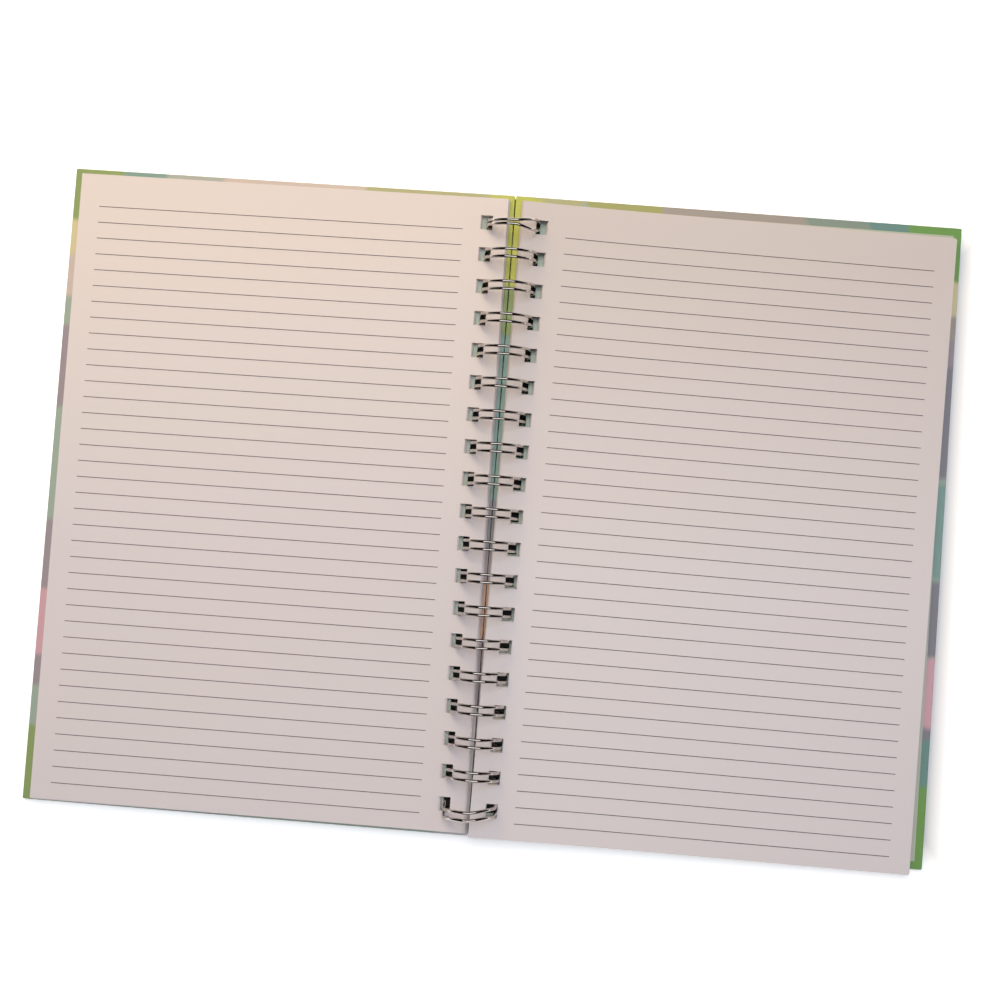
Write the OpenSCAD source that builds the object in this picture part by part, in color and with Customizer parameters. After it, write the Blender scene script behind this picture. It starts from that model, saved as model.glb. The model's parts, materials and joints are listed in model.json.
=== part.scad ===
// Open spiral notebook: two hard covers and two stacks of ruled sheets on a twin-loop wire.
// The rings' axis runs along Y over the origin. Head is +Y, front cover -X, back cover +X.
// Each half is drawn flat as the back half, then tilted about the rings' axis until
// the cover's fore edge rests on the table. The front half is its mirror image.

/* [Covers] */
// Width of a cover, from its spine edge to its fore edge
cover_w = 177.5; // [140:0.5:240]
// Height of a cover, from head to tail
cover_h = 253; // [150:1:330]
// Radius of a cover's corners, seen from above
corner_r = 0.6; // [0.5:0.1:6]
// Thickness of the grey board inside a cover
board_t = 2; // [1:0.1:3]
// Thickness of the printed paper wrapped round a board
wrap_t = 0.15; // [0.1:0.05:0.3]
// Width of the strip of printed paper turned in over the board's inner face
turn_in = 14; // [12:0.5:20]
// Thickness of the liner pasted over the turned-in strips
liner_t = 0.15; // [0.1:0.05:0.3]
// Distance of the liner's edge from the cover's edge
liner_inset = 3.1; // [1.5:0.1:5]
// Gap between the spine edges of the two covers
spine_gap = 0.6; // [0.5:0.1:2]

/* [Pages] */
// How much narrower a sheet is than a cover
page_narrower = 6; // [4:0.5:12]
// How far the covers stand past the sheets at head and tail
page_end_margin = 1.9; // [1.5:0.1:6]
// Thickness of the front stack at its fore edge
front_pages_t = 3; // [1:0.1:5]
// Extra height of the loose front sheets at the wire
front_lift = 0.3; // [0:0.1:1]
// Thickness of the back stack at its fore edge
back_pages_t = 3.2; // [1:0.1:5]
// Extra height of the loose back sheets at the wire
back_lift = 2.7; // [0:0.1:3.5]
// Distance from the spine edge over which the extra height dies out
lift_run = 60; // [30:1:90]
// How far the top sheet of a stack lies outside its bottom sheet
page_fan = 0.6; // [0.6:0.05:1]
// How far the front sheets are pulled out from the middle of their play
front_pull = 0.4; // [0.2:0.05:0.6]
// How far the front stack is turned, its head end out and its tail end in
front_turn = 0.55; // [0:0.05:0.65]
// How far the back stack is turned, its head end out and its tail end in
back_turn = 1.3; // [0:0.05:1.3]
// How far the back stack has slipped towards the tail
back_slip = 0.65; // [0:0.05:0.65]

/* [Punching] */
// Distance between the centres of neighbouring holes
pitch = 12.7; // [11:0.1:16]
// Width of a hole, across the spine
hole_w = 4.8; // [4.6:0.1:6]
// Length of a hole, along the spine
hole_h = 5.6; // [5.6:0.1:7.5]
// Distance of a hole's centre from the sheet's spine edge
hole_edge = 8; // [7.5:0.1:9]
// Least distance of the first and last holes' centres from a sheet's ends
first_hole = 9; // [6:0.5:14]
// How far a sheet's row of holes lies above its middle, towards the head
holes_up = 0.4; // [0:0.1:1]

/* [Wire] */
// Diameter of the wire
wire_d = 1.2; // [0.8:0.1:1.2]
// Distance between the centres of the two legs of a loop
leg_gap = 3; // [2.8:0.1:3.2]
// Radius of the bend from a leg to the straight that joins two loops
bend_r = 1.2; // [0.9:0.1:1.4]
// Distance by which a loop's closed tip stops short of the straights
tip_back = 0.4; // [0.3:0.1:1.5]
// Length of the cut end past the last bend
wire_end = 1.5; // [0.5:0.5:4]
// How far the wire has slipped towards the tail in the covers' holes
wire_slip = 0.25; // [0.2:0.05:0.4]

/* [Fits] */
// Clearance between a wire and the cover that it carries
wire_clearance = 0.2; // [0.1:0.05:0.5]
// Gap left between the two stacks when the book is closed
closing_gap = 0.3; // [0.2:0.1:2]

/* [Hidden] */

cover_t = wrap_t + board_t + wrap_t + liner_t;
page_w = cover_w - page_narrower;
page_h = cover_h - 2 * page_end_margin;
loops = floor((page_h - 2 * first_hole) / pitch) + 1;
loop_y = [for (i = [0 : loops - 1]) (i - (loops - 1) / 2) * pitch];
cover_hole_u = spine_gap / 2 + hole_edge;

// Depths are measured from the rings' axis down to a cover, square to it.
// The covers lie just deep enough for both stacks to meet when the book is closed.
front_spine_t = front_pages_t + front_lift;
back_spine_t = back_pages_t + back_lift;
inner_depth = (front_spine_t + back_spine_t + closing_gap) / 2;
outer_depth = inner_depth + cover_t;

// The rings pass under the strip of cover between the spine edge and the holes.
ring_in_r = sqrt((outer_depth + wire_clearance) ^ 2 + (cover_hole_u - hole_w / 2) ^ 2);
ring_r = ring_in_r + wire_d / 2;
ring_out_r = ring_in_r + wire_d;
tip_r = leg_gap / 2;
ring_z = sqrt(ring_r ^ 2 + max(bend_r, tip_r) ^ 2) + wire_d / 2;

// Middle of the play that the wire leaves a sheet's holes.
page_hole_u = (sqrt(ring_in_r ^ 2 - inner_depth ^ 2) + ring_out_r) / 2;

// Tilt at which the fore edge of a cover's outer face meets the table.
cover_reach = spine_gap / 2 + cover_w;
tilt = asin(ring_z / sqrt(cover_reach ^ 2 + outer_depth ^ 2)) - atan(outer_depth / cover_reach);

// Angles, from straight down, at which a leg ends at its bend and at its tip.
bend_angle = atan(bend_r / ring_r);
tip_angle = atan(tip_r / ring_r) + asin(tip_back / sqrt(ring_r ^ 2 + tip_r ^ 2));

cut = 1;
lift_steps = 12;
ring_fn = 72;
wire_fn = 36;
corner_fn = 32;
cover_colour = [0.62, 0.66, 0.45];
liner_colour = [0.68, 0.73, 0.66];
board_colour = [0.62, 0.60, 0.56];
page_colour = [0.93, 0.89, 0.85];
wire_colour = [0.80, 0.80, 0.82];

// A half of the book, tilted about the rings' axis.
module back_half() {
    translate([0, 0, ring_z]) rotate([0, tilt, 0]) children();
}
module front_half() {
    mirror([1, 0, 0]) back_half() children();
}

// Covers
module rounded_rect(w, h, r) {
    translate([r, 0]) square([w - 2 * r, h]);
    translate([0, r]) square([w, h - 2 * r]);
    for (x = [r, w - r], y = [r, h - r]) translate([x, y]) circle(r, $fn = corner_fn);
}
module cover_outline(inset) {
    translate([spine_gap / 2 + inset, inset - cover_h / 2])
        rounded_rect(cover_w - 2 * inset, cover_h - 2 * inset, max(corner_r - inset, 0.2));
}
module cover_holes() {
    for (y = loop_y) translate([cover_hole_u - hole_w / 2, y - hole_h / 2]) square([hole_w, hole_h]);
}
module punched(inset) {
    difference() {
        cover_outline(inset);
        cover_holes();
    }
}
// A layer of the cover, from a height above its outer face.
module layer(z, t) {
    translate([0, 0, z - outer_depth]) linear_extrude(t) children();
}
module board() {
    layer(wrap_t, board_t) punched(wrap_t);
}
// One sheet round the board: outer face, four edges and the strips turned in.
module wrap() {
    difference() {
        layer(0, wrap_t + board_t + wrap_t) punched(0);
        layer(wrap_t, board_t) cover_outline(wrap_t);
        layer(wrap_t + board_t / 2, cover_t) cover_outline(turn_in);
    }
}
// The liner dips onto the board between the turned-in strips.
module liner() {
    layer(wrap_t + board_t + wrap_t, liner_t) punched(liner_inset);
    layer(wrap_t + board_t, wrap_t + liner_t) cover_outline(turn_in);
}

// Pages
// Cross-section of a stack: slanted ends, and a top that rises towards the wire.
function lean(z, t) = page_fan * (z / t - 1 / 2);
function stack_profile(fore_t, t) = concat(
    [
        [lean(0, t), 0],
        [page_w + lean(0, t), 0],
        [page_w + lean(fore_t, t), fore_t]
    ],
    [for (i = [0 : lift_steps])
        let (s = i / lift_steps)
        [(1 - s) * lift_run + s * lean(t, t), fore_t + (t - fore_t) * s ^ 2]]
);
module hole_tunnel(t) {
    x = hole_edge - hole_w / 2;
    polygon([
        [x + lean(-cut, t), -cut],
        [x + hole_w + lean(-cut, t), -cut],
        [x + hole_w + lean(t + cut, t), t + cut],
        [x + lean(t + cut, t), t + cut]
    ]);
}
// Stands a cross-section up and runs it along the spine, centred on y.
module along_spine(y, length) {
    translate([0, y + length / 2, 0]) rotate([90, 0, 0]) linear_extrude(length) children();
}
module page_stack(fore_t, t, pull, turn, slip) {
    angle = asin(turn / (page_h / 2));
    translate([page_hole_u - hole_edge + pull, -slip, -inner_depth]) rotate([0, 0, -angle])
        difference() {
            along_spine(-holes_up, page_h) polygon(stack_profile(fore_t, t));
            for (y = loop_y) along_spine(y, hole_h) hole_tunnel(t);
        }
}

// Wire
// A length of wire bent to radius r about Z, from an angle on.
module bent_wire(r, from, sweep) {
    rotate([0, 0, from]) rotate_extrude(angle = sweep, $fn = ring_fn)
        translate([r, 0]) circle(d = wire_d, $fn = wire_fn);
}
module straight_wire(y, length) {
    translate([0, y, 0]) rotate([-90, 0, 0]) cylinder(h = length, d = wire_d, $fn = wire_fn);
}
// A frame on the rings, at an angle from straight down: X runs along the wire, Z to the axis.
module on_ring(angle) {
    rotate([0, -angle, 0]) translate([0, 0, -ring_r]) children();
}
// Half a ring, from such a frame's origin round the +X side (1) or the -X side (-1).
module half_ring(side) {
    translate([0, 0, ring_r]) rotate([90, 0, 0]) bent_wire(ring_r, -90 * side, 180);
}
// The foot of a leg: half a ring, and the quarter bend that turns out into a straight.
module leg_foot(y, side) {
    translate([0, y, 0]) half_ring(1);
    translate([0, y + side * bend_r, 0]) bent_wire(bend_r, side > 0 ? 180 : 90, 90);
}
// The closed tip of a loop, with the other halves of its two legs.
module loop_tip(y) {
    for (side = [-1, 1]) translate([0, y + side * tip_r, 0]) half_ring(-1);
    translate([0, y, 0]) bent_wire(tip_r, -90, 180);
}

module binding_wire() {
    reach = tip_r + bend_r;
    color(wire_colour) translate([0, -wire_slip, ring_z]) {
        on_ring(bend_angle) {
            for (y = loop_y, side = [-1, 1]) leg_foot(y + side * tip_r, side);
            translate([-bend_r, 0, 0]) {
                for (i = [0 : loops - 2]) straight_wire(loop_y[i] + reach, pitch - 2 * reach);
                straight_wire(loop_y[loops - 1] + reach, wire_end);
                straight_wire(loop_y[0] - reach - wire_end, wire_end);
            }
        }
        on_ring(-tip_angle) for (y = loop_y) loop_tip(y);
    }
}
module front_board() {
    color(board_colour) front_half() board();
}
module front_wrap() {
    color(cover_colour) front_half() wrap();
}
module front_liner() {
    color(liner_colour) front_half() liner();
}
module front_pages() {
    color(page_colour) front_half() page_stack(front_pages_t, front_spine_t, front_pull, front_turn, 0);
}
module back_board() {
    color(board_colour) back_half() board();
}
module back_wrap() {
    color(cover_colour) back_half() wrap();
}
module back_liner() {
    color(liner_colour) back_half() liner();
}
module back_pages() {
    color(page_colour) back_half() page_stack(back_pages_t, back_spine_t, 0, back_turn, back_slip);
}

binding_wire();
front_board();
front_wrap();
front_liner();
front_pages();
back_board();
back_wrap();
back_liner();
back_pages();
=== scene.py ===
# %% [markdown]
# # An open spiral notebook
# A hard-cover notebook lies open on a white table, seen from straight above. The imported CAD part
# is the fixed frame: it says where every piece is. This script gives the pieces their looks, and
# builds again, in finer detail, what the eye rests on: the wire and the loose sheets.

import json
import math

import bmesh
import bpy
from mathutils import Matrix, Vector


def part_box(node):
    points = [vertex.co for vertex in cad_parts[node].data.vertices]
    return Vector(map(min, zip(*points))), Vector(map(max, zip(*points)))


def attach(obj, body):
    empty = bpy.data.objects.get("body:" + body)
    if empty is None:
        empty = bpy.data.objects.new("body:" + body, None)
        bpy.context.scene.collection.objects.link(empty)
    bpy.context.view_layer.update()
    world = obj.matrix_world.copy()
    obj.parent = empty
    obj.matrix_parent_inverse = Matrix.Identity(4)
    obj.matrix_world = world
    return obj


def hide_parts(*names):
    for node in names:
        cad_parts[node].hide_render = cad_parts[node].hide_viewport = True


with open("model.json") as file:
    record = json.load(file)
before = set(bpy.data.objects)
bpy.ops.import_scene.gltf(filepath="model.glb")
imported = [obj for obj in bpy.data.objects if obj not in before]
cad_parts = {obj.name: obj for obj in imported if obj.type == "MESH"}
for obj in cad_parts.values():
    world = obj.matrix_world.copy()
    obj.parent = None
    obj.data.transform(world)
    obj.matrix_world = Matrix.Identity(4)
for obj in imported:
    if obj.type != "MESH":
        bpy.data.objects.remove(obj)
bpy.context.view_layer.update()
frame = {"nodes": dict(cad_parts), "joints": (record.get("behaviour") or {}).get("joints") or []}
nodes = frame["nodes"]
print("CAD nodes:", ", ".join(sorted(nodes)))

# %% [markdown]
# ## Where a half of the book lies
# Both halves hang on the axis of the wire's rings and slope down to the table at their fore edges.
# Everything on a half is easiest to make lying flat, with X running from the spine to the fore
# edge and the height measured from the rings' axis. A matrix then tilts it into place, and the
# front half is the mirror image of the back one. The tilt could be typed in, but then it would
# stay behind when the CAD part changes. It is read from the slope of the back liner's largest face.

# %% Axis, tilt and the two halves
MM = 0.001
AXIS_HEIGHT = frame["joints"][0]["pos_m"][2]


def largest_face_normal(node):
    mesh = nodes[node].data
    return max(mesh.polygons, key=lambda face: face.area).normal.copy()


liner_normal = largest_face_normal("back_liner")
TILT = abs(math.atan(liner_normal.x / liner_normal.z))
BACK_HALF = Matrix.Translation((0, 0, AXIS_HEIGHT)) @ Matrix.Rotation(TILT, 4, "Y")
FRONT_HALF = Matrix.Scale(-1, 4, (1, 0, 0)) @ BACK_HALF
print(f"axis {AXIS_HEIGHT / MM:.2f} mm above the table, halves tilted {math.degrees(TILT):.2f} degrees")

# %% [markdown]
# ## Small helpers
# Colours are written as sRGB hex, as a paint program shows them, and turned linear in one place.
# Shader and geometry trees are built by the same small function: it adds a node, sets its
# properties, and feeds its inputs, each with a value, with another node's socket, or with another
# node, whose first output in use is then linked. Where a node has several inputs of one name, they
# go by number: Map Range has its value at 0, the range it comes from at 1 and 2 and the range it
# goes to at 3 and 4, and a colour Mix has its share at 0 and its colours at 6 and 7.


# %% Helpers for colours and node trees
def linear(hex_colour):
    parts = [int(hex_colour[i : i + 2], 16) / 255 for i in (1, 3, 5)]
    return tuple(p / 12.92 if p <= 0.04045 else ((p + 0.055) / 1.055) ** 2.4 for p in parts) + (1,)


def feed(tree, node, inputs):
    for key, value in inputs.items():
        if isinstance(value, bpy.types.Node):
            value = next(output for output in value.outputs if output.enabled)
        if isinstance(value, bpy.types.NodeSocket):
            tree.links.new(value, node.inputs[key])
        else:
            node.inputs[key].default_value = value


def add(tree, kind, inputs=None, **properties):
    node = tree.nodes.new(kind)
    for key, value in properties.items():
        setattr(node, key, value)
    feed(tree, node, inputs or {})
    return node


def new_material(name):
    material = bpy.data.materials.new(name)
    material.use_nodes = True
    tree = material.node_tree
    return material, tree, tree.nodes["Principled BSDF"]


print("middle grey, #808080, is", round(linear("#808080")[0], 3), "in linear light")

# %% [markdown]
# ## The covers' printed paper
# The covers are wrapped in satin paper printed with fields of colour, like a wet wash. Only a
# narrow border of it shows round the sheets. A painted image would do, but it would blur up close
# and would have to be kept beside the script, so the wash is drawn by nodes. Each field is a round
# patch with a named colour, a centre and a reach in millimetres, laid over a ground colour.

# %% Colours and fields of the wash
COLOURS = {
    "moss": "#87995a", "grass": "#6c9648", "khaki": "#9c9a56", "straw": "#a7a372",
    "sand": "#cabd90", "lime": "#b4b646", "amber": "#bd9478", "blush": "#c2b1a4",
    "clay": "#9c9184", "mauve": "#96898c", "pink": "#c99ba1", "sage": "#97a594",
    "teal": "#7a978c", "sea": "#66897f", "slate": "#7e7b80", "stone": "#bbb8b4",
    "fern": "#818e7e", "mist": "#a4a69a",
}
GROUND = "sage"
WASH = [
    ("sand", (-178, 102), 13), ("moss", (-172, 127), 15), ("moss", (-178, 115), 10),
    ("teal", (-149, 127), 9), ("mist", (-127, 127), 13), ("blush", (-88, 130), 30),
    ("straw", (-31, 130), 30), ("straw", (14, 130), 13), ("khaki", (44, 130), 17),
    ("clay", (88, 130), 29), ("fern", (130, 130), 15), ("sea", (150, 128), 10),
    ("grass", (169, 128), 12), ("grass", (178, 113), 10),
    ("blush", (-178, 84), 9), ("mauve", (-178, 46), 17), ("mauve", (-178, -29), 14),
    ("mauve", (-178, -74), 8), ("pink", (-178, -56), 14), ("moss", (-178, -114), 17),
    ("sand", (178, 97), 8), ("clay", (178, 83), 8), ("mauve", (178, 75), 6),
    ("slate", (178, 49), 22), ("teal", (178, 6), 19), ("slate", (178, -29), 15),
    ("slate", (178, -73), 6), ("pink", (178, -58), 14), ("sea", (178, -86), 10),
    ("grass", (178, -113), 19),
    ("lime", (0, 108), 20), ("moss", (0, 79), 11), ("teal", (0, 37), 33),
    ("slate", (0, -6), 12), ("mauve", (0, -49), 34), ("amber", (2, -38), 11),
    ("stone", (0, -104), 26),
    ("blush", (-85, 55), 34), ("teal", (-105, -10), 38), ("khaki", (-60, -70), 40),
    ("clay", (80, 60), 40), ("sage", (110, -5), 36), ("pink", (75, -60), 30),
    ("moss", (-125, 72), 28), ("sand", (-46, 6), 27), ("mauve", (-132, -76), 27),
    ("teal", (47, -18), 27), ("straw", (130, 66), 28), ("sea", (124, -78), 30),
]
print(len(WASH), "fields of", len(COLOURS), "colours on", GROUND)

# %% [markdown]
# Perfect circles would look like dots, so two noises move the fields about. A fine one bends every
# rim a little. A broad one pulls the fields out of round, as water does, but only well inside a
# cover, so that the colours of the border and of the gutter stay where they are. A noise's scale is
# one over the size of its grain, here a length divided by the number of grains in it.

# %% How far the broad noise reaches
FINE_GRAIN = 50 * MM / 3
FINE_SHIFT = 6 * MM
BROAD_GRAIN = 62.5 * MM
BROAD_SHIFT = 110 * MM
CALM_AT_SPINE = 12 * MM
CALM_FROM_FORE = 170 * MM
CALM_FROM_END = 119 * MM
CALM_TO_WILD = 45 * MM


def broad_shift(tree, place):
    split = add(tree, "ShaderNodeSeparateXYZ", {0: place}).outputs
    across = add(tree, "ShaderNodeMath", {0: split["X"]}, operation="ABSOLUTE")
    along = add(tree, "ShaderNodeMath", {0: split["Y"]}, operation="ABSOLUTE")
    past_spine = add(tree, "ShaderNodeMath", {0: across, 1: CALM_AT_SPINE}, operation="SUBTRACT")
    to_fore = add(tree, "ShaderNodeMath", {0: CALM_FROM_FORE, 1: across}, operation="SUBTRACT")
    to_end = add(tree, "ShaderNodeMath", {0: CALM_FROM_END, 1: along}, operation="SUBTRACT")
    depth = add(tree, "ShaderNodeMath", {0: past_spine, 1: to_fore}, operation="MINIMUM")
    depth = add(tree, "ShaderNodeMath", {0: depth, 1: to_end}, operation="MINIMUM")
    return add(tree, "ShaderNodeMapRange", {0: depth, 1: 0.0, 2: CALM_TO_WILD, 3: 0.0, 4: BROAD_SHIFT})


print("the broad noise moves a field by up to", round(BROAD_SHIFT / 2 / MM), "mm each way")

# %% [markdown]
# The patches lie on Object coordinates, so both covers share one wash and it runs on round their
# edges and over their outer faces. A patch fades out over a rim that is a share of its reach and
# 3 mm at most. The paper is folded sharply over the board, and a Bevel node rounds the fold for the
# light alone, which leaves the CAD mesh as it is.

# %% Cover paper
RIM_SHARE = 0.3
WIDEST_RIM = 3
FOLD_RADIUS = 0.35 * MM


def cover_paper():
    material, tree, shader = new_material("Satin printed cover paper")
    place = add(tree, "ShaderNodeTexCoord").outputs["Object"]
    spot = place
    for grain, amount in ((FINE_GRAIN, FINE_SHIFT), (BROAD_GRAIN, broad_shift(tree, place))):
        noise = add(tree, "ShaderNodeTexNoise", {"Vector": place, "Scale": 1 / grain, "Detail": 2.0})
        inputs = {0: noise.outputs["Color"], 1: (0.5,) * 3}
        shift = add(tree, "ShaderNodeVectorMath", inputs, operation="SUBTRACT")
        shift = add(tree, "ShaderNodeVectorMath", {0: shift, "Scale": amount}, operation="SCALE")
        spot = add(tree, "ShaderNodeVectorMath", {0: spot, 1: shift})
    flat = add(tree, "ShaderNodeVectorMath", {0: spot, 1: (1, 1, 0)}, operation="MULTIPLY")
    colour = linear(COLOURS[GROUND])
    for colour_name, (x, y), reach in WASH:
        inputs = {0: flat, 1: (x * MM, y * MM, 0)}
        away = add(tree, "ShaderNodeVectorMath", inputs, operation="DISTANCE")
        rim = min(RIM_SHARE * reach, WIDEST_RIM)
        inputs = {0: away, 1: (reach - rim / 2) * MM, 2: (reach + rim / 2) * MM, 3: 1.0, 4: 0.0}
        inside = add(tree, "ShaderNodeMapRange", inputs, interpolation_type="SMOOTHSTEP")
        inputs = {0: inside, 6: colour, 7: linear(COLOURS[colour_name])}
        colour = add(tree, "ShaderNodeMix", inputs, data_type="RGBA")
    rounded = add(tree, "ShaderNodeBevel", {"Radius": FOLD_RADIUS})
    feed(tree, shader, {"Base Color": colour, "Normal": rounded, "Roughness": 0.45})
    return material


wrap_paper = cover_paper()
print(wrap_paper.name, "has", len(wrap_paper.node_tree.nodes), "nodes")

# %% [markdown]
# ## The liners
# A liner is pasted over the inner face of each cover. Its paper is plain and matt. Near the spine,
# where the punched holes show it, it is painted pale: painted light that makes up for the shade deep
# in the holes. It goes over to sage towards the fore edge. One flat colour would look like plastic,
# so a slow noise makes it now greener, now browner.

# %% Liner paper
LINER_CLOUD = 250 * MM / 3
PAINTED_LIGHT_UNTIL = 15 * MM
SAGE_FROM = 90 * MM
# Near the spine the liner is painted pale: painted light for the shade inside the holes.
LINER_PAINTED_LIGHT = "#c2cdba"
LINER_BROWN = "#c0b7a9"
LINER_GREEN = "#adba9c"


def plain_liner():
    material, tree, shader = new_material("Matt sage liner paper")
    place = add(tree, "ShaderNodeTexCoord").outputs["Object"]
    cloud = add(tree, "ShaderNodeTexNoise", {"Vector": place, "Scale": 1 / LINER_CLOUD, "Detail": 1.0})
    inputs = {0: cloud, 6: linear(LINER_BROWN), 7: linear(LINER_GREEN)}
    sage = add(tree, "ShaderNodeMix", inputs, data_type="RGBA")
    across = add(tree, "ShaderNodeSeparateXYZ", {0: place}).outputs["X"]
    across = add(tree, "ShaderNodeMath", {0: across}, operation="ABSOLUTE")
    # Painted light: paler up to this distance from the spine, where the holes are shaded.
    inputs = {0: across, 1: PAINTED_LIGHT_UNTIL, 2: SAGE_FROM, 3: 0.0, 4: 1.0}
    share = add(tree, "ShaderNodeMapRange", inputs)
    colour = add(tree, "ShaderNodeMix", {0: share, 6: linear(LINER_PAINTED_LIGHT), 7: sage}, data_type="RGBA")
    feed(tree, shader, {"Base Color": colour, "Roughness": 0.8})
    return material


liner_paper = plain_liner()
print(liner_paper.name, "is pale up to", round(PAINTED_LIGHT_UNTIL / MM), "mm from the spine")

# %% [markdown]
# ## The grey board
# Inside each cover is a stiff board of pressed waste paper. It only shows in the walls of the
# punched holes, so modelled fibres would be lost there. A noise at the size of the flecks, 0.4 mm,
# in two greys is enough. With it, the three papers of the covers go onto their CAD nodes: a CAD
# mesh keeps its shape and only gets another material.

# %% Grey board, and the covers' materials
FLECK = 0.4 * MM
FLECK_DARK = "#8d8880"
FLECK_LIGHT = "#b1aca3"


def grey_board():
    material, tree, shader = new_material("Raw grey board")
    place = add(tree, "ShaderNodeTexCoord").outputs["Object"]
    flecks = add(tree, "ShaderNodeTexNoise", {"Vector": place, "Scale": 1 / FLECK, "Detail": 3.0})
    inputs = {0: flecks, 6: linear(FLECK_DARK), 7: linear(FLECK_LIGHT)}
    colour = add(tree, "ShaderNodeMix", inputs, data_type="RGBA")
    feed(tree, shader, {"Base Color": colour, "Roughness": 0.9})
    return material


def finish_cad_node(node, material):
    nodes[node].data.materials.clear()
    nodes[node].data.materials.append(material)


board = grey_board()
for side in ("front", "back"):
    finish_cad_node(f"{side}_board", board)
    finish_cad_node(f"{side}_wrap", wrap_paper)
    finish_cad_node(f"{side}_liner", liner_paper)
    print("finished the", side, "cover's board, wrap and liner")

# %% [markdown]
# ## Ruled paper
# The sheets are uncoated warm white paper with grey rules about a quarter of an inch apart. The
# rules could be thin strips of mesh, but ink has no height, and strips on 62 sheets would be heavy.
# So each sheet carries a UV map in metres, measured from the middle of its spine edge, and the
# shader draws a rule where the distance to the nearest multiple of the spacing is under half the
# rule's width, within the margins. The rules then stay square to the sheet however it lies. The two
# sides of a sheet are printed one after the other, so their rules lie at slightly different
# heights. Towards the head the front sheets turn warmer and the back sheets darker, a painted
# shade where the light falls off. The paper's fibres give a faint bump.

# %% Sizes and tones of the ruled paper
RULE_SPACING = 6.38 * MM
RULE_WIDTH = 0.3 * MM
RULE_RIM = 0.09 * MM
RULES_EACH_WAY = 18
RULE_START = 17.3 * MM
RULE_END = 163.5 * MM
RULE_SHIFT = {"front": -3.6 * MM, "back": -3.7 * MM}
# Towards the head the front paper turns warmer, and the back paper darker: a painted shade.
STOCK = {
    "front": {"light": "#d8ccc8", "dark": "#d5ccc9", "head_tone_and_shade": "#ddcfc5"},
    "back": {"light": "#dcd0cb", "dark": "#d9d0cc", "head_tone_and_shade": "#d0c3ba"},
}
INK = "#5c4c4c"
# Where the head's warmer tone and painted shade start, and where they are full.
HEAD_TONE_AND_SHADE_FROM = -20 * MM
HEAD_TONE_AND_SHADE_AT = 110 * MM
FIBRE = 10 * MM / 9
FIBRE_DEPTH = 0.2 * MM
PAPER_CLOUD = 500 * MM / 7
print("rules", round(RULE_SPACING / MM, 2), "mm apart,", 2 * RULES_EACH_WAY + 1, "on a page")


# %% Rules and paper
def rules(tree, across, height):
    """1 on a rule and 0 beside it, with soft edges."""
    off_rule = add(tree, "ShaderNodeMath", {0: height, 1: RULE_SPACING / 2}, operation="PINGPONG")
    full_until = (RULE_WIDTH - RULE_RIM) / 2
    none_from = (RULE_WIDTH + RULE_RIM) / 2
    ink = add(tree, "ShaderNodeMapRange", {0: off_rule, 1: full_until, 2: none_from, 3: 1.0, 4: 0.0})
    off_middle = add(tree, "ShaderNodeMath", {0: height}, operation="ABSOLUTE")
    limits = (
        (off_middle, "LESS_THAN", (RULES_EACH_WAY + 0.5) * RULE_SPACING),
        (across, "GREATER_THAN", RULE_START),
        (across, "LESS_THAN", RULE_END),
    )
    for distance, comparison, limit in limits:
        inside = add(tree, "ShaderNodeMath", {0: distance, 1: limit}, operation=comparison)
        ink = add(tree, "ShaderNodeMath", {0: ink, 1: inside}, operation="MULTIPLY")
    return ink


def ruled_paper(side):
    material, tree, shader = new_material(f"Ruled uncoated paper, {side} stack")
    uv = add(tree, "ShaderNodeUVMap", uv_map="sheet")
    split = add(tree, "ShaderNodeSeparateXYZ", {0: uv}).outputs
    height = add(tree, "ShaderNodeMath", {0: split["Y"], 1: RULE_SHIFT[side]}, operation="SUBTRACT")
    ink = rules(tree, split["X"], height)
    place = add(tree, "ShaderNodeTexCoord").outputs["Object"]
    fibres = add(tree, "ShaderNodeTexNoise", {"Vector": place, "Scale": 1 / FIBRE, "Detail": 4.0})
    bump = add(tree, "ShaderNodeBump", {"Height": fibres, "Strength": 0.05, "Distance": FIBRE_DEPTH})
    cloud = add(tree, "ShaderNodeTexNoise", {"Vector": place, "Scale": 1 / PAPER_CLOUD, "Detail": 1.0})
    light, dark, head_tone_and_shade = [linear(STOCK[side][tone]) for tone in ("light", "dark", "head_tone_and_shade")]
    stock = add(tree, "ShaderNodeMix", {0: cloud, 6: light, 7: dark}, data_type="RGBA")
    # Towards the head: warmer on the front stack, a painted shade on the back stack.
    inputs = {0: split["Y"], 1: HEAD_TONE_AND_SHADE_FROM, 2: HEAD_TONE_AND_SHADE_AT, 3: 0.0, 4: 1.0}
    towards_head = add(tree, "ShaderNodeMapRange", inputs)
    stock = add(tree, "ShaderNodeMix", {0: towards_head, 6: stock, 7: head_tone_and_shade}, data_type="RGBA")
    colour = add(tree, "ShaderNodeMix", {0: ink, 6: stock, 7: linear(INK)}, data_type="RGBA")
    feed(tree, shader, {"Base Color": colour, "Normal": bump, "Roughness": 0.9})
    return material


papers = {side: ruled_paper(side) for side in STOCK}
print("papers:", ", ".join(paper.name for paper in papers.values()))

# %% [markdown]
# ## One punched sheet
# A sheet is a thin slab with a row of oblong holes. Boolean cuts would leave long thin triangles
# that shade badly when the sheet bends, so it is cut on a grid: lines in X and Y at every edge of
# the slab and of its holes make cells, and each cell that isn't a hole gets a top and a bottom
# face. Wherever a cell meets no other, a wall closes the slab. Extra lines near the spine let the
# sheet bend there later.

# %% Sheet sizes
PAGE_WIDTH = 171.5 * MM
PAGE_HEIGHT = 249.2 * MM
HOLES_UP = 0.4 * MM
SHEET_THICKNESS = 0.09 * MM
HOLE_PITCH = 12.7 * MM
HOLE_COUNT = 19
HOLE_WIDTH = 4.8 * MM
HOLE_HEIGHT = 5.6 * MM
HOLE_FROM_EDGE = 8 * MM
BEND_LINES = [14, 18, 22, 26, 31, 37, 44, 52, 60, 115]

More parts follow.
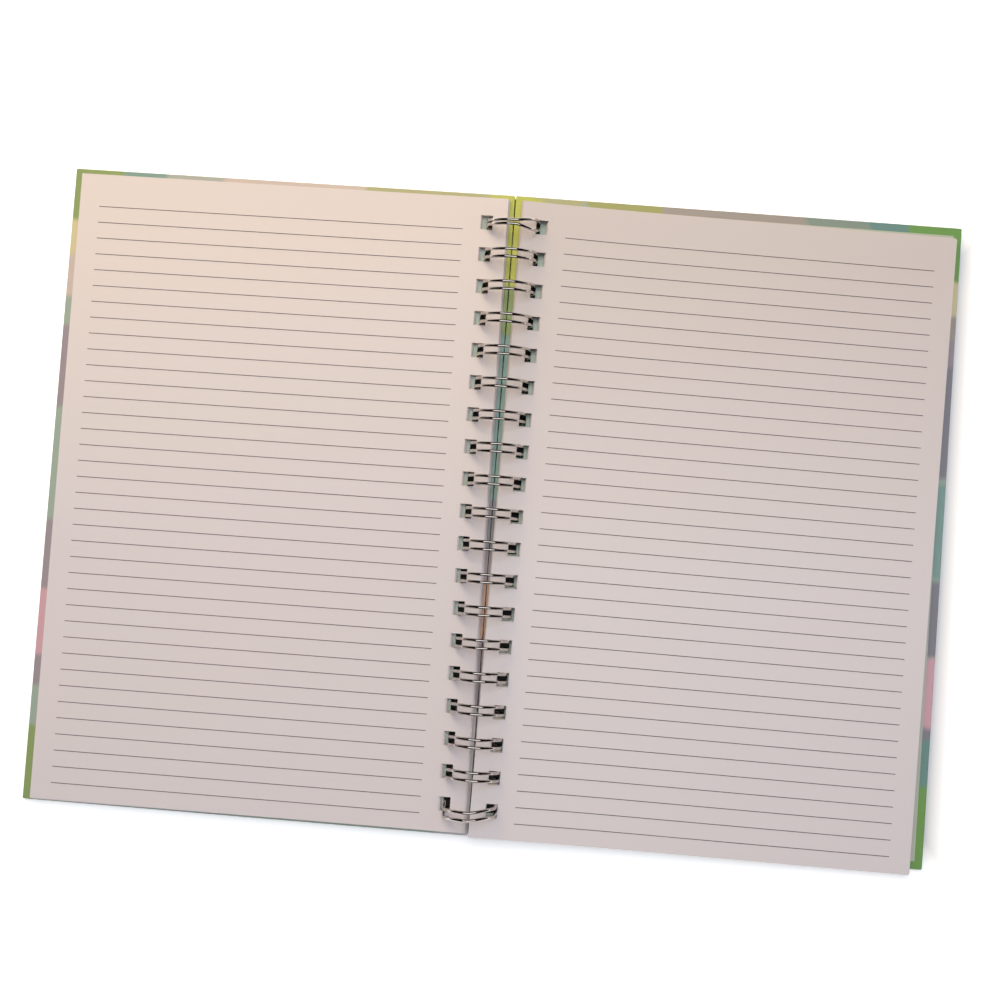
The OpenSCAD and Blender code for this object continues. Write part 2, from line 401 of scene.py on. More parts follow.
hole_rows = [(i - (HOLE_COUNT - 1) / 2) * HOLE_PITCH for i in range(HOLE_COUNT)]
hole_columns = (HOLE_FROM_EDGE - HOLE_WIDTH / 2, HOLE_FROM_EDGE + HOLE_WIDTH / 2)
print(HOLE_COUNT, "holes in a row of", round((hole_rows[-1] - hole_rows[0]) / MM, 1), "mm")


# %% The punched slab
def in_a_hole(x, y):
    in_column = hole_columns[0] < x < hole_columns[1]
    return in_column and any(abs(y - row) < HOLE_HEIGHT / 2 for row in hole_rows)


def punched_slab(name, xs, ys, is_hole, thickness):
    mesh = bmesh.new()
    uv_layer = mesh.loops.layers.uv.new("sheet")
    corners = {}

    def corner(i, j, level):
        if (i, j, level) not in corners:
            corners[i, j, level] = mesh.verts.new((xs[i], ys[j], level * thickness))
        return corners[i, j, level]

    solid = {
        (i, j)
        for i in range(len(xs) - 1)
        for j in range(len(ys) - 1)
        if not is_hole((xs[i] + xs[i + 1]) / 2, (ys[j] + ys[j + 1]) / 2)
    }
    for i, j in solid:
        ring = [(i, j), (i + 1, j), (i + 1, j + 1), (i, j + 1)]
        neighbours = [(i, j - 1), (i + 1, j), (i, j + 1), (i - 1, j)]
        mesh.faces.new([corner(a, b, 1) for a, b in ring])
        mesh.faces.new([corner(a, b, 0) for a, b in reversed(ring)])
        for k, neighbour in enumerate(neighbours):
            if neighbour not in solid:
                start, end = ring[k], ring[(k + 1) % 4]
                wall = [corner(*start, 0), corner(*end, 0), corner(*end, 1), corner(*start, 1)]
                mesh.faces.new(wall)
    for face in mesh.faces:
        for loop in face.loops:
            loop[uv_layer].uv = loop.vert.co.xy
    data = bpy.data.meshes.new(name)
    mesh.to_mesh(data)
    mesh.free()
    return data


xs = [0, *hole_columns, *(line * MM for line in BEND_LINES), PAGE_WIDTH]
ys = [-PAGE_HEIGHT / 2 - HOLES_UP, PAGE_HEIGHT / 2 - HOLES_UP]
ys = sorted(ys + [row + side * HOLE_HEIGHT / 2 for row in hole_rows for side in (-1, 1)])
sheet_mesh = punched_slab("punched_sheet", xs, ys, in_a_hole, SHEET_THICKNESS)
print(f"a sheet has {len(sheet_mesh.polygons)} faces")

# %% [markdown]
# ## A stack of loose sheets
# Copies of the sheet could be placed one by one in a Python loop. Geometry Nodes keep the stack's
# sizes as named inputs instead, and both stacks come from one tree. A line of points climbs through
# the stack, and a copy of the sheet sits on each point, slid and turned a little, with a small
# random part and a fixed seed. The top few sheets are slid and turned further. After the copies
# are made real, the stack is fluffed up near the spine: a sheet's rise there follows a parabola
# and is in proportion to its place in the stack.


# %% Geometry Nodes: where each sheet of a stack goes
def socket(tree, name, kind, way="INPUT"):
    tree.interface.new_socket(name=name, in_out=way, socket_type="NodeSocket" + kind)


def stack_inputs(tree):
    socket(tree, "Sheet", "Geometry")
    socket(tree, "Sheets", "Int")
    names = ("Thickness", "Lift", "Lift run", "Fan", "Pull", "Slip", "Turn")
    names += ("Top pull", "Top slip", "Top turn", "Fanned sheets", "Untidiness")
    for name in names:
        socket(tree, name, "Float")
    socket(tree, "Seed", "Int")
    socket(tree, "Paper", "Material")
    socket(tree, "Stack", "Geometry", "OUTPUT")
    return add(tree, "NodeGroupInput").outputs


def sheet_turn_and_place(tree, given, index, level):
    """Each sheet's turn about its spine edge, and its shift in the plane of the stack."""
    last = add(tree, "ShaderNodeMath", {0: given["Sheets"], 1: 1.0}, operation="SUBTRACT")
    from_top = add(tree, "ShaderNodeMath", {0: last, 1: index}, operation="SUBTRACT")
    inputs = {0: from_top, 1: 0.0, 2: given["Fanned sheets"], 3: 1.0, 4: 0.0}
    fanned = add(tree, "ShaderNodeMapRange", inputs)
    total = {}
    for name in ("Pull", "Slip", "Turn"):
        inputs = {0: fanned, 1: given["Top " + name.lower()]}
        extra = add(tree, "ShaderNodeMath", inputs, operation="MULTIPLY")
        total[name] = add(tree, "ShaderNodeMath", {0: given[name], 1: extra}, operation="ADD")
    off_middle = add(tree, "ShaderNodeMath", {0: level, 1: 0.5}, operation="SUBTRACT")
    lean = add(tree, "ShaderNodeMath", {0: off_middle, 1: given["Fan"]}, operation="MULTIPLY")
    x = add(tree, "ShaderNodeMath", {0: lean, 1: total["Pull"]}, operation="ADD")
    y = add(tree, "ShaderNodeMath", {0: total["Slip"], 1: -1.0}, operation="MULTIPLY")
    turn = add(tree, "ShaderNodeMath", {0: total["Turn"], 1: -1.0}, operation="MULTIPLY")
    place = add(tree, "ShaderNodeCombineXYZ", {0: x, 1: y})
    untidy = given["Untidiness"]
    inward = add(tree, "ShaderNodeMath", {0: untidy, 1: -1.0}, operation="MULTIPLY")
    low = add(tree, "ShaderNodeCombineXYZ", {0: inward})
    high = add(tree, "ShaderNodeCombineXYZ", {0: untidy, 1: untidy})
    inputs = {0: low, 1: high, "Seed": given["Seed"]}
    jog = add(tree, "FunctionNodeRandomValue", inputs, data_type="FLOAT_VECTOR")
    place = add(tree, "ShaderNodeVectorMath", {0: place, 1: jog})
    return add(tree, "ShaderNodeCombineXYZ", {2: turn}), place


# %% Geometry Nodes: the whole stack
def fluff(tree, given):
    """How far a point rises near the spine: a parabola, higher for the upper sheets."""
    position = add(tree, "GeometryNodeInputPosition")
    across = add(tree, "ShaderNodeSeparateXYZ", {0: position}).outputs["X"]
    share = add(tree, "ShaderNodeMath", {0: across, 1: given["Lift run"]}, operation="DIVIDE")
    near = add(tree, "ShaderNodeMath", {0: 1.0, 1: share}, operation="SUBTRACT")
    near = add(tree, "ShaderNodeMath", {0: near, 1: 0.0}, operation="MAXIMUM")
    parabola = add(tree, "ShaderNodeMath", {0: near, 1: near}, operation="MULTIPLY")
    level = add(tree, "GeometryNodeInputNamedAttribute", {"Name": "level"}, data_type="FLOAT")
    rise = add(tree, "ShaderNodeMath", {0: parabola, 1: level}, operation="MULTIPLY")
    rise = add(tree, "ShaderNodeMath", {0: rise, 1: given["Lift"]}, operation="MULTIPLY")
    return add(tree, "ShaderNodeCombineXYZ", {2: rise})


def stack_tree():
    tree = bpy.data.node_groups.new("Stack of loose sheets", "GeometryNodeTree")
    given = stack_inputs(tree)
    count = given["Sheets"]
    step = add(tree, "ShaderNodeMath", {0: given["Thickness"], 1: count}, operation="DIVIDE")
    rise = add(tree, "ShaderNodeCombineXYZ", {2: step})
    points = add(tree, "GeometryNodeMeshLine", {"Count": count, "Offset": rise})
    index = add(tree, "GeometryNodeInputIndex")
    level = add(tree, "ShaderNodeMath", {0: index, 1: count}, operation="DIVIDE")
    inputs = {"Geometry": points, "Name": "level", "Value": level}
    points = add(tree, "GeometryNodeStoreNamedAttribute", inputs, data_type="FLOAT", domain="POINT")
    turn, place = sheet_turn_and_place(tree, given, index, level)
    moved = add(tree, "GeometryNodeSetPosition", {"Geometry": points, "Offset": place})
    inputs = {"Points": moved, "Instance": given["Sheet"], "Rotation": turn}
    copies = add(tree, "GeometryNodeInstanceOnPoints", inputs)
    real = add(tree, "GeometryNodeRealizeInstances", {0: copies})
    bent = add(tree, "GeometryNodeSetPosition", {"Geometry": real, "Offset": fluff(tree, given)})
    done = add(tree, "GeometryNodeSetMaterial", {"Geometry": bent, "Material": given["Paper"]})
    add(tree, "NodeGroupOutput", {0: done})
    return tree


sheet_stack = stack_tree()
print(sheet_stack.name, "has", len(sheet_stack.nodes), "nodes")

# %% [markdown]
# A tree works as a modifier on some object. The export needs plain meshes, so the evaluated result
# is copied out as a mesh of its own, and the object that carried the modifier is deleted.


# %% From a node tree to a plain mesh
def made_real(name, source_mesh, tree, values):
    carrier = bpy.data.objects.new(name + "_source", source_mesh)
    bpy.context.scene.collection.objects.link(carrier)
    modifier = carrier.modifiers.new("nodes", "NODES")
    modifier.node_group = tree
    for item in tree.interface.items_tree:
        if item.in_out == "INPUT" and item.name in values:
            modifier[item.identifier] = values[item.name]
    bpy.context.view_layer.update()
    evaluated = carrier.evaluated_get(bpy.context.evaluated_depsgraph_get())
    mesh = bpy.data.meshes.new_from_object(evaluated)
    mesh.name = name
    bpy.data.objects.remove(carrier)
    result = bpy.data.objects.new(name, mesh)
    bpy.context.scene.collection.objects.link(result)
    print(name, "has", len(mesh.polygons), "faces")
    return result


# %% [markdown]
# ## The two stacks
# The read sheets lie on the left, almost square to their cover. The unread ones on the right have
# slipped towards the tail and turned a little, and the top few have turned further than the rest,
# so their edges show as fine steps. Both stacks fluff up at the wire, the right one more. A mirror
# turns a mesh inside out, so the front stack's faces are flipped back. The inner depth is how far a
# cover's inner face lies below the rings' axis, and the sheets start a little off the book's middle.

# %% Front and back sheets
INNER_DEPTH = 4.75 * MM
PAPER_START = 1.425 * MM
LIFT_RUN = 60 * MM
FANNED_SHEETS = 6.0
UNTIDINESS = 0.06 * MM

STACKS = {
    "front": {
        "Sheets": 30, "Thickness": 3.0 * MM, "Lift": 0.3 * MM, "Fan": 0.6 * MM,
        "Pull": 0.4 * MM, "Slip": 0.0, "Turn": math.radians(0.25),
        "Top turn": math.radians(-0.15), "Top pull": 0.3 * MM, "Top slip": 0.0, "Seed": 3,
    },
    "back": {
        "Sheets": 32, "Thickness": 3.2 * MM, "Lift": 2.7 * MM, "Fan": 0.6 * MM,
        "Pull": 0.3 * MM, "Slip": 0.65 * MM, "Turn": math.radians(0.6),
        "Top turn": math.radians(0.2), "Top pull": -0.1 * MM, "Top slip": 0.2 * MM, "Seed": 8,
    },
}


def loose_sheets(side, half):
    values = dict(STACKS[side])
    values["Lift run"] = LIFT_RUN
    values["Fanned sheets"] = FANNED_SHEETS
    values["Untidiness"] = UNTIDINESS
    values["Paper"] = papers[side]
    stack = made_real(f"{side}_sheets", sheet_mesh, sheet_stack, values)
    stack.data.transform(half @ Matrix.Translation((PAPER_START, 0, -INNER_DEPTH)))
    if half.determinant() < 0:
        stack.data.flip_normals()
    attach(stack, f"{side}_pages")
    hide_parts(f"{side}_pages")


loose_sheets("front", FRONT_HALF)
loose_sheets("back", BACK_HALF)

# %% [markdown]
# ## The twin-loop wire
# One length of bright wire is bent to and fro into flat twin loops and closed round the book. A
# curve drawn by hand would never be as even as a bending machine's work, so the path of one loop is
# worked out in the order in which the machine bends it: half a straight, a bend, a leg right round
# the ring, the narrow closed tip, the other leg back, a bend and half a straight.

# %% Path of one loop
WIRE_DIAMETER = 1.2 * MM
RING_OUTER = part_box("binding_wire")[1].x
RING_RADIUS = RING_OUTER - WIRE_DIAMETER / 2
BEND_RADIUS = 1.2 * MM
TIP_RADIUS = 1.5 * MM
TIP_BACK = 0.4 * MM
WIRE_END = 1.5 * MM
WIRE_SLIP = 0.25 * MM
RING_STEPS = 96
BEND_STEPS = 8


def ring_point(angle, along=0.0, y=0.0):
    """A point on the ring, at an angle from straight down, slid along the wire's direction there."""
    direction = Vector((math.cos(angle), 0, math.sin(angle)))
    down = Vector((math.sin(angle), 0, -math.cos(angle)))
    return down * RING_RADIUS + direction * along + Vector((0, y, 0))


def loop_path():
    bend = math.atan(BEND_RADIUS / RING_RADIUS)
    tip = math.atan(TIP_RADIUS / RING_RADIUS) + TIP_BACK / RING_RADIUS
    end = 2 * math.pi - tip
    quarter = [math.pi / 2 * i / BEND_STEPS for i in range(BEND_STEPS + 1)]
    half = [ring_point(bend, -BEND_RADIUS, -HOLE_PITCH / 2)]
    for turn in reversed(quarter):
        y = -TIP_RADIUS - BEND_RADIUS * (1 - math.cos(turn))
        half.append(ring_point(bend, -BEND_RADIUS * math.sin(turn), y))
    for i in range(1, RING_STEPS):
        half.append(ring_point(bend + (end - bend) * i / RING_STEPS, 0, -TIP_RADIUS))
    for turn in quarter:
        half.append(ring_point(end, TIP_RADIUS * math.sin(turn), -TIP_RADIUS * math.cos(turn)))
    other = [Vector((p.x, -p.y, p.z)) for p in reversed(half[:-1])]
    return half + other


path_points = loop_path()
path_mesh = bpy.data.meshes.new("loop_path")
path_mesh.from_pydata(path_points, [(i, i + 1) for i in range(len(path_points) - 1)], [])
loop_length = sum((b - a).length for a, b in zip(path_points, path_points[1:]))
print(f"one loop takes {loop_length / MM:.0f} mm of wire")

# %% [markdown]
# Geometry Nodes repeat the path along the spine, weld it into one line and draw the wire along it.
# Before that, the points are moved, because the wire in the photograph has been used: its crowns
# lean a little towards the book's middle, and two loops were knocked. The first is pinched at its
# crown and leans further, and the last leans towards the tail. Moving points of the path, and not
# of the finished tube, keeps the wire round.

# %% Geometry Nodes: a row of loops
PINCHED_UNTIL = 1.5 * MM
SPREAD_FROM = 8 * MM
LEAN_FADES_UNTIL = 9 * MM
LEAN_KEPT = 0.35
WELD = 0.001 * MM
WIRE_SIDES = 16


def wire_inputs(tree):
    socket(tree, "Loop", "Geometry")
    socket(tree, "Loops", "Int")
    names = ("Pitch", "Diameter", "Half length", "Bent from", "Crown")
    names += ("Gather", "First lean", "Last lean", "Pinch", "Spread")
    names += ("Knocked from", "Back above front", "Knock height")
    for name in names:
        socket(tree, name, "Float")
    socket(tree, "Metal", "Material")
    socket(tree, "Wire", "Geometry", "OUTPUT")
    return add(tree, "NodeGroupInput").outputs


def row_of_loops(tree, given, tail_end):
    """Copies of the path from the tail to the head, each with its number."""
    inputs = {
        "Count": given["Loops"],
        "Start Location": add(tree, "ShaderNodeCombineXYZ", {1: tail_end}),
        "Offset": add(tree, "ShaderNodeCombineXYZ", {1: given["Pitch"]}),
    }
    points = add(tree, "GeometryNodeMeshLine", inputs)
    index = add(tree, "GeometryNodeInputIndex")
    inputs = {"Geometry": points, "Name": "loop", "Value": index}
    points = add(tree, "GeometryNodeStoreNamedAttribute", inputs, data_type="FLOAT", domain="POINT")
    copies = add(tree, "GeometryNodeInstanceOnPoints", {"Points": points, "Instance": given["Loop"]})
    return add(tree, "GeometryNodeRealizeInstances", {0: copies})


print("the first loop is pinched up to", round(PINCHED_UNTIL / MM, 1), "mm right of the spine")


# %% Geometry Nodes: gathered and knocked loops
def gather(tree, given, spot):
    """How far a crown leans towards the middle of the book."""
    inputs = {0: spot["Z"], 1: given["Bent from"], 2: given["Crown"], 3: 0.0, 4: 1.0}
    raised = add(tree, "ShaderNodeMapRange", inputs, interpolation_type="SMOOTHSTEP")
    lean = add(tree, "ShaderNodeMath", {0: spot["Y"], 1: given["Gather"]}, operation="MULTIPLY")
    return add(tree, "ShaderNodeMath", {0: lean, 1: raised}, operation="MULTIPLY")


def knock_share(tree, given, spot):
    """How much of a knock reaches a point: none low on the ring, all of it at the crown."""
    on_back = add(tree, "ShaderNodeMath", {0: spot["X"], 1: 0.0}, operation="GREATER_THAN")
    inputs = {0: on_back, 1: given["Back above front"]}
    on_back = add(tree, "ShaderNodeMath", inputs, operation="MULTIPLY")
    low = add(tree, "ShaderNodeMath", {0: given["Knocked from"], 1: on_back}, operation="ADD")
    high = add(tree, "ShaderNodeMath", {0: low, 1: given["Knock height"]}, operation="ADD")
    inputs = {0: spot["Z"], 1: low, 2: high, 3: 0.0, 4: 1.0}
    return add(tree, "ShaderNodeMapRange", inputs, interpolation_type="SMOOTHSTEP")


def knock(tree, given, spot, highest, tail_end):
    """How far the first and the last loop were bent. Loops are numbered from the tail, from 0."""
    loop = add(tree, "GeometryNodeInputNamedAttribute", {"Name": "loop"}, data_type="FLOAT")
    is_last = add(tree, "ShaderNodeMath", {0: loop, 1: 0.5}, operation="LESS_THAN")
    below_first = add(tree, "ShaderNodeMath", {0: highest, 1: 0.5}, operation="SUBTRACT")
    is_first = add(tree, "ShaderNodeMath", {0: loop, 1: below_first}, operation="GREATER_THAN")
    head_end = add(tree, "ShaderNodeMath", {0: tail_end, 1: -1.0}, operation="MULTIPLY")
    off_middle = add(tree, "ShaderNodeMath", {0: head_end, 1: spot["Y"]}, operation="SUBTRACT")
    inputs = {0: spot["X"], 1: PINCHED_UNTIL, 2: SPREAD_FROM, 3: given["Pinch"], 4: given["Spread"]}
    pinch = add(tree, "ShaderNodeMapRange", inputs)
    pinch = add(tree, "ShaderNodeMath", {0: pinch, 1: is_first}, operation="MULTIPLY")
    pinch = add(tree, "ShaderNodeMath", {0: pinch, 1: off_middle}, operation="MULTIPLY")
    inputs = {0: is_first, 1: given["First lean"]}
    first_lean = add(tree, "ShaderNodeMath", inputs, operation="MULTIPLY")
    inputs = {0: spot["X"], 1: 0.0, 2: LEAN_FADES_UNTIL, 3: 1.0, 4: LEAN_KEPT}
    share = add(tree, "ShaderNodeMapRange", inputs)
    last_lean = add(tree, "ShaderNodeMath", {0: is_last, 1: given["Last lean"]}, operation="MULTIPLY")
    last_lean = add(tree, "ShaderNodeMath", {0: last_lean, 1: share}, operation="MULTIPLY")
    lean = add(tree, "ShaderNodeMath", {0: first_lean, 1: last_lean}, operation="ADD")
    shift = add(tree, "ShaderNodeMath", {0: pinch, 1: lean}, operation="SUBTRACT")
    inputs = {0: shift, 1: knock_share(tree, given, spot)}
    return add(tree, "ShaderNodeMath", inputs, operation="MULTIPLY")


# %% Geometry Nodes: the whole wire
def cut_to_length(tree, given, line):
    """Ends the wire a little past the first and the last loop."""
    position = add(tree, "GeometryNodeInputPosition")
    spot = add(tree, "ShaderNodeSeparateXYZ", {0: position}).outputs
    half_length = given["Half length"]
    y = add(tree, "ShaderNodeMath", {0: spot["Y"], 1: half_length}, operation="MINIMUM")
    tail = add(tree, "ShaderNodeMath", {0: half_length, 1: -1.0}, operation="MULTIPLY")
    y = add(tree, "ShaderNodeMath", {0: y, 1: tail}, operation="MAXIMUM")
    inside = add(tree, "ShaderNodeCombineXYZ", {0: spot["X"], 1: y, 2: spot["Z"]})
    return add(tree, "GeometryNodeSetPosition", {"Geometry": line, "Position": inside})


def wire_tree():
    tree = bpy.data.node_groups.new("Twin-loop wire", "GeometryNodeTree")
    given = wire_inputs(tree)
    highest = add(tree, "ShaderNodeMath", {0: given["Loops"], 1: 1.0}, operation="SUBTRACT")
    half_row = add(tree, "ShaderNodeMath", {0: highest, 1: -0.5}, operation="MULTIPLY")
    tail_end = add(tree, "ShaderNodeMath", {0: half_row, 1: given["Pitch"]}, operation="MULTIPLY")
    row = row_of_loops(tree, given, tail_end)
    position = add(tree, "GeometryNodeInputPosition")
    spot = add(tree, "ShaderNodeSeparateXYZ", {0: position}).outputs
    inputs = {0: knock(tree, given, spot, highest, tail_end), 1: gather(tree, given, spot)}
    shift = add(tree, "ShaderNodeMath", inputs, operation="SUBTRACT")
    shift = add(tree, "ShaderNodeCombineXYZ", {1: shift})
    used = add(tree, "GeometryNodeSetPosition", {"Geometry": row, "Offset": shift})
    cut = cut_to_length(tree, given, used)
    welded = add(tree, "GeometryNodeMergeByDistance", {"Geometry": cut, "Distance": WELD})
    line = add(tree, "GeometryNodeMeshToCurve", {0: welded})
    radius = add(tree, "ShaderNodeMath", {0: given["Diameter"], 1: 0.5}, operation="MULTIPLY")
    inputs = {"Resolution": WIRE_SIDES, "Radius": radius}
    section = add(tree, "GeometryNodeCurvePrimitiveCircle", inputs)
    inputs = {"Curve": line, "Profile Curve": section, "Fill Caps": True}
    tube = add(tree, "GeometryNodeCurveToMesh", inputs)
    smooth = add(tree, "GeometryNodeSetShadeSmooth", {"Geometry": tube})
    done = add(tree, "GeometryNodeSetMaterial", {"Geometry": smooth, "Material": given["Metal"]})
    add(tree, "NodeGroupOutput", {0: done})
    return tree


looped_wire = wire_tree()
print(looped_wire.name, "has", len(looped_wire.nodes), "nodes")

# %% [markdown]
# The wire is steel, drawn through a die and plated with nickel. It is smooth and mirrors its
# surroundings almost sharply, so the material needs no pattern: a pale warm grey for the metal, and
# a low roughness. What gives it life is what it mirrors, which comes with the lights below.


# %% The wire
METAL = "#c4beb9"


def bright_wire():
    material, tree, shader = new_material("Bright nickel-plated wire")
    feed(tree, shader, {"Base Color": linear(METAL), "Metallic": 1.0, "Roughness": 0.07})
    return material


half_length = hole_rows[-1] + TIP_RADIUS + BEND_RADIUS + WIRE_END
values = {
    "Loops": HOLE_COUNT, "Pitch": HOLE_PITCH, "Diameter": WIRE_DIAMETER, "Half length": half_length,
    "Bent from": -1.5 * MM, "Crown": RING_RADIUS, "Gather": 0.0095, "First lean": 0.5 * MM,
    "Last lean": 2.6 * MM, "Pinch": 0.47, "Spread": -0.35, "Knocked from": -1.5 * MM,
    "Back above front": 2.5 * MM, "Knock height": 3 * MM, "Metal": bright_wire(),
}
wire = made_real("twin_loop_wire", path_mesh, looped_wire, values)
wire.data.transform(Matrix.Translation((0, -WIRE_SLIP, AXIS_HEIGHT)))
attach(wire, "wire")
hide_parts("binding_wire")

# %% [markdown]
# ## Table
# The photograph's ground is pure white with a soft shadow at the right. More lamps would whiten the
# table, but they would bleach the book as well, so the table is a white plane that glows a little
# and clips to white. It glows more further out, where less light reaches it, and less close to the
# book's right edge, where the shadow lies; there its colour is greyer as well, a painted shadow. A
# strip under the spine is painted dark, a painted shade, and doesn't glow, or it would shine up
# through the holes and through the gap between the covers. The rest of what the covers hide glows
# like the open table, so no dark print is left when a cover is turned away.

# %% Sizes of the table's shadow and glow
BOOK_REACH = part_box("back_wrap")[1]
NEAR_GLOW = 0.38
FAR_GLOW = 0.6
FAR_FROM = 3 * MM
FAR_AT = 60 * MM
SHADOW_WIDTH = 10 * MM
SHADOW_FADE = 12 * MM
OPEN_FROM = 0.1 * MM
OPEN_AT = 0.6 * MM
COVERED_FROM = -2 * MM
COVERED_AT = -8 * MM
STRIP_DARK_UNTIL = 11 * MM
STRIP_ENDS = 17 * MM
TABLE_WHITE = "#f3f0ea"
# A painted shadow: the table's colour greys next to the book's right edge.
TABLE_PAINTED_SHADOW = "#dddad5"
# A painted shade: the table is dark under the spine, where the holes and the gap look down.
SPINE_PAINTED_SHADE = "#404040"
TABLE_REACH = 3.0
print("the table's shadow reaches", round(SHADOW_WIDTH / MM), "mm to the right of the book")


# %% Table
def table_zones(tree):
    """Distance outside the book, and shares: clear of shadow, in the open, off the spine, covered."""
    place = add(tree, "ShaderNodeTexCoord").outputs["Object"]
    spot = add(tree, "ShaderNodeSeparateXYZ", {0: place}).outputs
    leftward = add(tree, "ShaderNodeMath", {0: spot["X"], 1: -1.0}, operation="MULTIPLY")
    endward = add(tree, "ShaderNodeMath", {0: spot["Y"]}, operation="ABSOLUTE")
    past_right = add(tree, "ShaderNodeMath", {0: spot["X"], 1: BOOK_REACH.x}, operation="SUBTRACT")
    past_left = add(tree, "ShaderNodeMath", {0: leftward, 1: BOOK_REACH.x}, operation="SUBTRACT")
    past_end = add(tree, "ShaderNodeMath", {0: endward, 1: BOOK_REACH.y}, operation="SUBTRACT")
    past_rest = add(tree, "ShaderNodeMath", {0: past_left, 1: past_end}, operation="MAXIMUM")
    outside = add(tree, "ShaderNodeMath", {0: past_right, 1: past_rest}, operation="MAXIMUM")
    right = add(tree, "ShaderNodeMapRange", {0: past_right, 1: 0.0, 2: SHADOW_WIDTH, 3: 0.0, 4: 1.0})
    inputs = {0: past_rest, 1: -SHADOW_FADE, 2: 0.0, 3: 0.0, 4: 1.0}
    rest = add(tree, "ShaderNodeMapRange", inputs)
    clear = add(tree, "ShaderNodeMath", {0: right, 1: rest}, operation="MAXIMUM")
    inputs = {0: outside, 1: OPEN_FROM, 2: OPEN_AT, 3: 0.0, 4: 1.0}
    in_the_open = add(tree, "ShaderNodeMapRange", inputs)
    across = add(tree, "ShaderNodeMath", {0: spot["X"]}, operation="ABSOLUTE")
    inputs = {0: across, 1: STRIP_DARK_UNTIL, 2: STRIP_ENDS, 3: 0.0, 4: 1.0}
    off_spine = add(tree, "ShaderNodeMapRange", inputs)
    inputs = {0: outside, 1: COVERED_AT, 2: COVERED_FROM, 3: 1.0, 4: 0.0}
    covered = add(tree, "ShaderNodeMapRange", inputs)
    covered = add(tree, "ShaderNodeMath", {0: covered, 1: off_spine}, operation="MULTIPLY")
    return outside, clear, in_the_open, off_spine, covered


def table_top():
    material, tree, shader = new_material("White table top")
    outside, clear, in_the_open, off_spine, covered = table_zones(tree)
    # Painted shadow: the colour is greyer beside the book's right edge and under the book.
    inputs = {0: clear, 6: linear(TABLE_PAINTED_SHADOW), 7: linear(TABLE_WHITE)}
    colour = add(tree, "ShaderNodeMix", inputs, data_type="RGBA")
    # Under the spine the table is a painted shade, dark and without glow.
    pale = add(tree, "ShaderNodeMath", {0: in_the_open, 1: off_spine}, operation="MAXIMUM")
    inputs = {0: pale, 6: linear(SPINE_PAINTED_SHADE), 7: colour}
    colour = add(tree, "ShaderNodeMix", inputs, data_type="RGBA")
    near = add(tree, "ShaderNodeMath", {0: clear, 1: in_the_open}, operation="MULTIPLY")
    near = add(tree, "ShaderNodeMath", {0: near, 1: covered}, operation="MAXIMUM")
    near = add(tree, "ShaderNodeMath", {0: near, 1: NEAR_GLOW}, operation="MULTIPLY")
    far = add(tree, "ShaderNodeMapRange", {0: outside, 1: FAR_FROM, 2: FAR_AT, 3: 0.0, 4: FAR_GLOW})
    glow = add(tree, "ShaderNodeMath", {0: near, 1: far}, operation="ADD")
    feed(tree, shader, {"Base Color": colour, "Roughness": 1.0, "Specular IOR Level": 0.0})
    feed(tree, shader, {"Emission Color": (1, 1, 1, 1), "Emission Strength": glow})
    mesh = bpy.data.meshes.new("table")
    corners = ((-1, -1), (1, -1), (1, 1), (-1, 1))
    mesh.from_pydata([(x * TABLE_REACH, y * TABLE_REACH, 0) for x, y in corners], [], [(0, 1, 2, 3)])
    mesh.materials.append(material)
    floor = bpy.data.objects.new("table", mesh)
    bpy.context.scene.collection.objects.link(floor)
    return floor


table = table_top()
print("the table is", round(table.dimensions.x), "m wide")

# %% [markdown]
# ## Light
# Warm window light comes in from the upper left, and cooler light from the ceiling and the room.
# The wire is a mirror, so what stands round it decides how it looks: dark room, pale paper below
# and one bright panel overhead. The panel gives no diffuse light, so it hardly changes the paper,
# and it gives each crown the short bright line that it has in the photograph. The window and the
# ceiling stay out of the mirror.


# %% Lamps and room
ROOM = "#9297a8"
ROOM_IN_THE_WIRE = "#1d1714"
BACKGROUND = "#ffffff"


def softbox(name, place, size, power, colour):
    light = bpy.data.lights.new(name, "AREA")
    light.shape = "RECTANGLE"
    light.size, light.size_y = size
    light.energy = power
    light.color = linear(colour)[:3]
    lamp = bpy.data.objects.new(name, light)
    lamp.location = place
    lamp.rotation_euler = (-Vector(place)).to_track_quat("-Z", "Y").to_euler()
    lamp.visible_camera = False
    bpy.context.scene.collection.objects.link(lamp)
    print(name, "gives", power, "W")
    return lamp


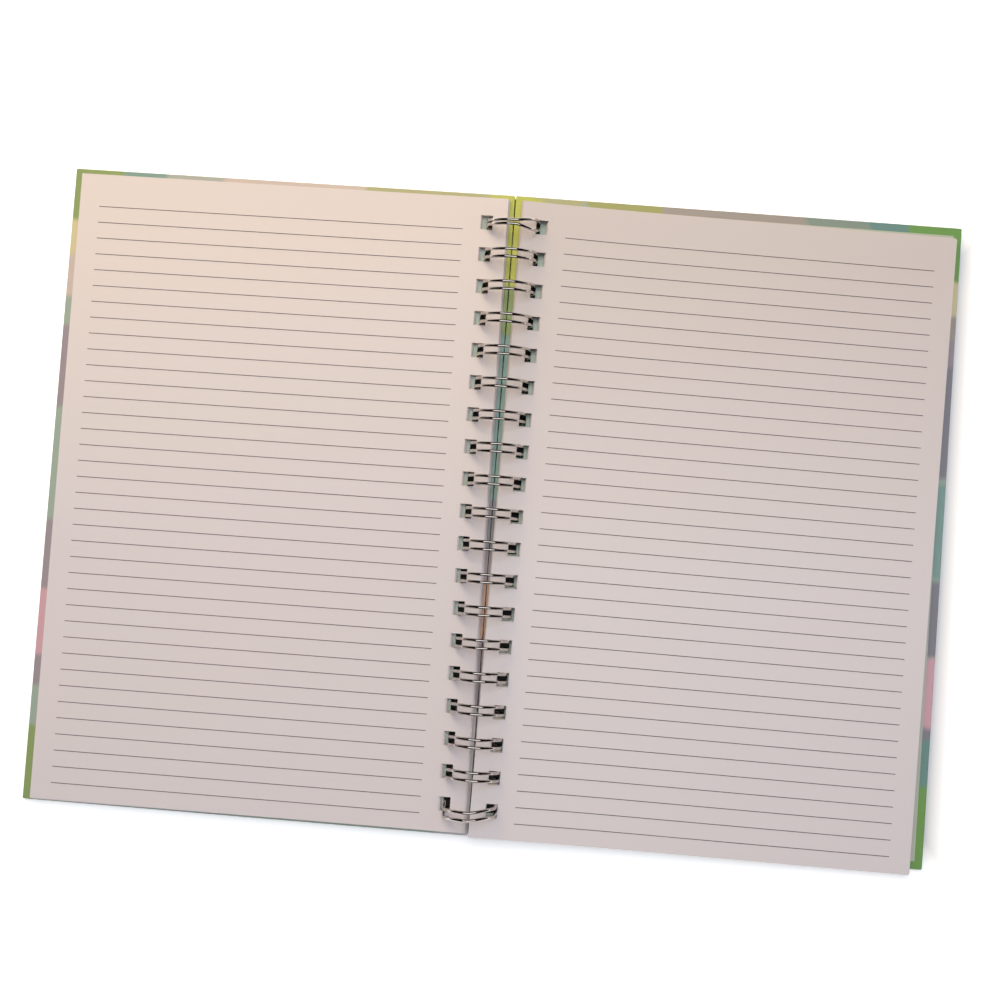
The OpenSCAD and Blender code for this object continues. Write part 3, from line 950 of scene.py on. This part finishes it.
def surroundings():
    world = bpy.data.worlds.new("white room")
    bpy.context.scene.world = world
    world.use_nodes = True
    tree = world.node_tree
    path = add(tree, "ShaderNodeLightPath").outputs
    inputs = {0: path["Is Glossy Ray"], 6: linear(ROOM), 7: linear(ROOM_IN_THE_WIRE)}
    seen = add(tree, "ShaderNodeMix", inputs, data_type="RGBA")
    inputs = {0: path["Is Camera Ray"], 6: seen, 7: linear(BACKGROUND)}
    seen = add(tree, "ShaderNodeMix", inputs, data_type="RGBA")
    feed(tree, tree.nodes["Background"], {"Color": seen, "Strength": 1.0})


window = softbox("window", place=(-0.3, 0.46, 0.5), size=(0.4, 0.4), power=2.3, colour="#ffdf99")
ceiling = softbox("ceiling", place=(0.02, 0.25, 1.0), size=(0.5, 0.5), power=6.0, colour="#f3f8ff")
panel = softbox("mirrored panel", place=(0, 0, 1.4), size=(1.3, 1.0), power=9.0, colour="#ffffff")
window.visible_glossy = False
ceiling.visible_glossy = False
panel.visible_diffuse = False
surroundings()

# %% [markdown]
# ## Camera
# The camera's place, turn and lens could be tried out by eye. Here they were worked out from the
# corners of the covers and the sheets and from the loops in the photograph. It hangs a little right
# of the spine, 500 mm up, turned so that the book's head points slightly to the left of the
# picture's top.

# %% Camera
CAMERA_PLACE = (14.0 * MM, -11.1 * MM, 500 * MM)
LENS = 45.14
SENSOR = 36
TURN = [math.radians(angle) for angle in (-1.915, -1.307, -4.209)]

camera_data = bpy.data.cameras.new("camera")
camera_data.lens = LENS
camera_data.sensor_width = SENSOR
camera = bpy.data.objects.new("camera", camera_data)
bpy.context.scene.collection.objects.link(camera)
to_camera = Matrix.Identity(4)
for axis, angle in zip("XYZ", TURN):
    to_camera = Matrix.Rotation(angle, 4, axis) @ to_camera
camera.matrix_world = Matrix.Translation(CAMERA_PLACE) @ to_camera.transposed()
bpy.context.scene.camera = camera
bpy.context.scene.view_settings.view_transform = "Standard"
print(f"camera {CAMERA_PLACE[2] / MM:.0f} mm up with a {LENS:.1f} mm lens")
